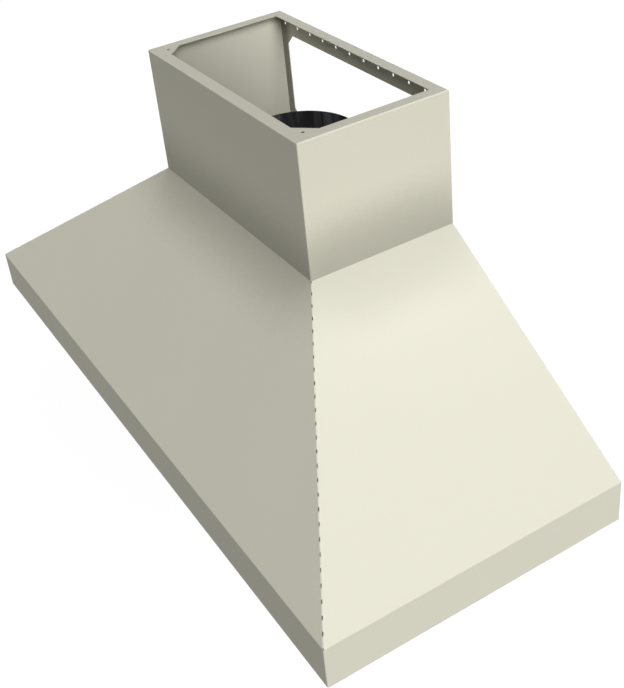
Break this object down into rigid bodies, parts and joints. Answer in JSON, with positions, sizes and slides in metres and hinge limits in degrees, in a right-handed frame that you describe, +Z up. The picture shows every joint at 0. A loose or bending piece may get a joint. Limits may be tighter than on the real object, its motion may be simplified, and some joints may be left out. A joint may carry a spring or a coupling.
{
  "type": "range hood",
  "caption": "Wall-mounted canopy range hood: a painted sloped shell with a boxed chimney, a round duct collar with a damper, baffle filters, a blower, lamps and knobs.",
  "frame": {"origin": "middle of the back plane, at the skirt's bottom edge", "axes": "+X to the hood's right as seen from the cook, +Y into the wall, +Z up"},
  "size_m": [1.524, 0.622, 0.69],
  "materials": {
    "cream_paint": "satin cream powder coat",
    "black_enamel": "satin black enamel",
    "galvanised_steel": "galvanised sheet",
    "motor_paint": "dark grey motor paint",
    "plain_steel": "bright zinc-plated steel",
    "wheel_steel": "zinc-coated steel",
    "can_aluminium": "drawn aluminium",
    "knob_plastic": "moulded black",
    "switch_plastic": "grey moulded housing",
    "lamp_glass": "frosted",
    "bright_chrome": "polished chrome",
    "stainless_steel": "brushed stainless"
  },
  "bodies": {
    "hood": {"chimney_back": "cream_paint", "chimney_front": "cream_paint", "chimney_left": "cream_paint", "chimney_right": "cream_paint", "collar_screws": "plain_steel", "corner_gusset_left": "cream_paint", "corner_gusset_right": "cream_paint", "damper_rod": "plain_steel", "duct_collar": "black_enamel", "fan_motor": "motor_paint", "filter_front_rail": "stainless_steel", "filter_rear_rail": "stainless_steel", "hip_stitches_left": "cream_paint", "hip_stitches_right": "cream_paint", "junction_box": "galvanised_steel", "junction_box_cover": "galvanised_steel", "lamp_bezels": "bright_chrome", "lamp_housings": "can_aluminium", "lamp_lenses": "lamp_glass", "light_switch": "switch_plastic", "liner_front_ledge": "stainless_steel", "liner_left_ledge": "stainless_steel", "liner_rear_ledge": "stainless_steel", "liner_right_ledge": "stainless_steel", "motor_bracket": "galvanised_steel", "motor_capacitor": "can_aluminium", "plenum_deck": "galvanised_steel", "rear_panel": "cream_paint", "scroll_side_left": "galvanised_steel", "scroll_side_right": "galvanised_steel", "scroll_wrap": "galvanised_steel", "skirt_front": "cream_paint", "skirt_left": "cream_paint", "skirt_right": "cream_paint", "slope_front": "cream_paint", "slope_left": "cream_paint", "slope_right": "cream_paint", "speed_switch": "switch_plastic", "tray_runner_left": "stainless_steel", "tray_runner_right": "stainless_steel"},
    "grease_tray": {"grease_tray": "stainless_steel"},
    "damper_front": {"damper_flap_front": "galvanised_steel"},
    "damper_rear": {"damper_flap_rear": "galvanised_steel"},
    "fan": {"blower_wheel": "wheel_steel", "motor_shaft": "plain_steel"},
    "speed_knob": {"speed_knob": "knob_plastic"},
    "light_knob": {"light_knob": "knob_plastic"},
    "filter_1": {"filter_1_frame": "stainless_steel", "filter_1_baffles": "stainless_steel"},
    "filter_1_handle": {"filter_1_handle": "bright_chrome"},
    "filter_2": {"filter_2_frame": "stainless_steel", "filter_2_baffles": "stainless_steel"},
    "filter_2_handle": {"filter_2_handle": "bright_chrome"},
    "filter_3": {"filter_3_frame": "stainless_steel", "filter_3_baffles": "stainless_steel"},
    "filter_3_handle": {"filter_3_handle": "bright_chrome"},
    "filter_4": {"filter_4_frame": "stainless_steel", "filter_4_baffles": "stainless_steel"},
    "filter_4_handle": {"filter_4_handle": "bright_chrome"}
  },
  "joints": [
    {"name": "filter_1_lift", "type": "slide", "parent": "hood", "child": "filter_1", "axis": [0, -0.9659, 0.2588], "range_m": [0, 0.018]},
    {"name": "filter_1_handle_fold", "type": "hinge", "parent": "filter_1", "child": "filter_1_handle", "pos_m": [-0.44475, -0.29574, 0.0921], "axis": [1, 0, 0], "range_deg": [-70, 70]},
    {"name": "filter_2_lift", "type": "slide", "parent": "hood", "child": "filter_2", "axis": [0, -0.9659, 0.2588], "range_m": [0, 0.018]},
    {"name": "filter_2_handle_fold", "type": "hinge", "parent": "filter_2", "child": "filter_2_handle", "pos_m": [-0.14825, -0.29574, 0.0921], "axis": [1, 0, 0], "range_deg": [-70, 70]},
    {"name": "filter_3_lift", "type": "slide", "parent": "hood", "child": "filter_3", "axis": [0, -0.9659, 0.2588], "range_m": [0, 0.018]},
    {"name": "filter_3_handle_fold", "type": "hinge", "parent": "filter_3", "child": "filter_3_handle", "pos_m": [0.14825, -0.29574, 0.0921], "axis": [1, 0, 0], "range_deg": [-70, 70]},
    {"name": "filter_4_lift", "type": "slide", "parent": "hood", "child": "filter_4", "axis": [0, -0.9659, 0.2588], "range_m": [0, 0.018]},
    {"name": "filter_4_handle_fold", "type": "hinge", "parent": "filter_4", "child": "filter_4_handle", "pos_m": [0.44475, -0.29574, 0.0921], "axis": [1, 0, 0], "range_deg": [-70, 70]},
    {"name": "grease_tray_slide", "type": "slide", "parent": "hood", "child": "grease_tray", "axis": [0, -1, 0], "range_m": [0, 0.15]},
    {"name": "damper_front_swing", "type": "hinge", "parent": "hood", "child": "damper_front", "pos_m": [0, -0.1544, 0.4525], "axis": [-1, 0, 0], "range_deg": [0, 80]},
    {"name": "damper_rear_swing", "type": "hinge", "parent": "hood", "child": "damper_rear", "pos_m": [0, -0.1544, 0.4525], "axis": [1, 0, 0], "range_deg": [0, 80]},
    {"name": "fan_spin", "type": "hinge", "parent": "hood", "child": "fan", "pos_m": [0, -0.2294, 0.2908], "axis": [1, 0, 0], "continuous": true},
    {"name": "speed_knob_turn", "type": "hinge", "parent": "hood", "child": "speed_knob", "pos_m": [-0.05, -0.5632, 0.0395], "axis": [0, 0, -1], "range_deg": [0, 270]},
    {"name": "light_knob_turn", "type": "hinge", "parent": "hood", "child": "light_knob", "pos_m": [0.05, -0.5632, 0.0395], "axis": [0, 0, -1], "range_deg": [0, 270]}
  ]
}
